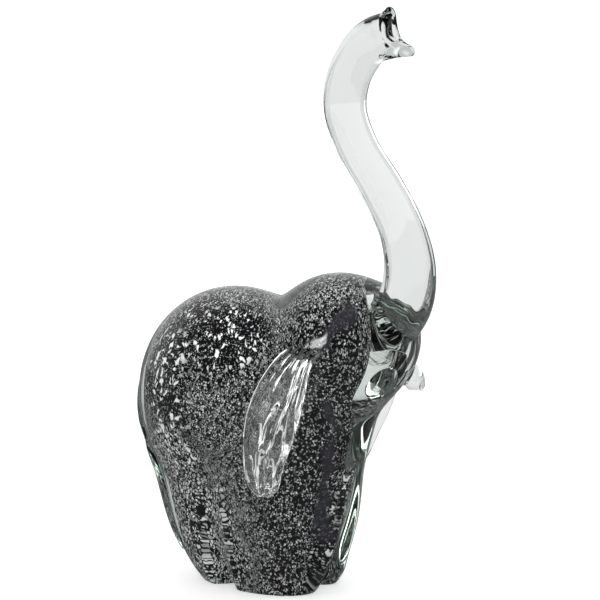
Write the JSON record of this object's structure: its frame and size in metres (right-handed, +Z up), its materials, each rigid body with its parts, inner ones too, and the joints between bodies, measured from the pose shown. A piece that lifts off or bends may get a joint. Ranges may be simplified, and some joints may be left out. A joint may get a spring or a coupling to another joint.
{
  "type": "glass elephant figurine",
  "caption": "Free-standing glass elephant with a raised trunk: dark silver-flecked core in a thick clear casing, with fused clear trunk, ears, tusks and tail, flat base.",
  "frame": {"origin": "middle of the flat base, on the surface the elephant stands on", "axes": "the elephant faces +X, its left side is +Y, +Z is up"},
  "size_m": [0.1565, 0.0986, 0.281],
  "materials": {
    "dark_glass": "glossy opaque black glass with a slight violet cast",
    "silver_leaf": "silver leaf torn into flakes and fine crackle over black glass",
    "clear_glass": "clear polished glass, very slightly green-grey in thick places"
  },
  "bodies": {
    "root": {"dark_core": "dark_glass", "silver_leaf": "silver_leaf", "clear_casing": "clear_glass", "trunk": "clear_glass", "right_ear": "clear_glass", "left_ear": "clear_glass", "right_tusk": "clear_glass", "left_tusk": "clear_glass", "tail": "clear_glass"}
  },
  "joints": []
}
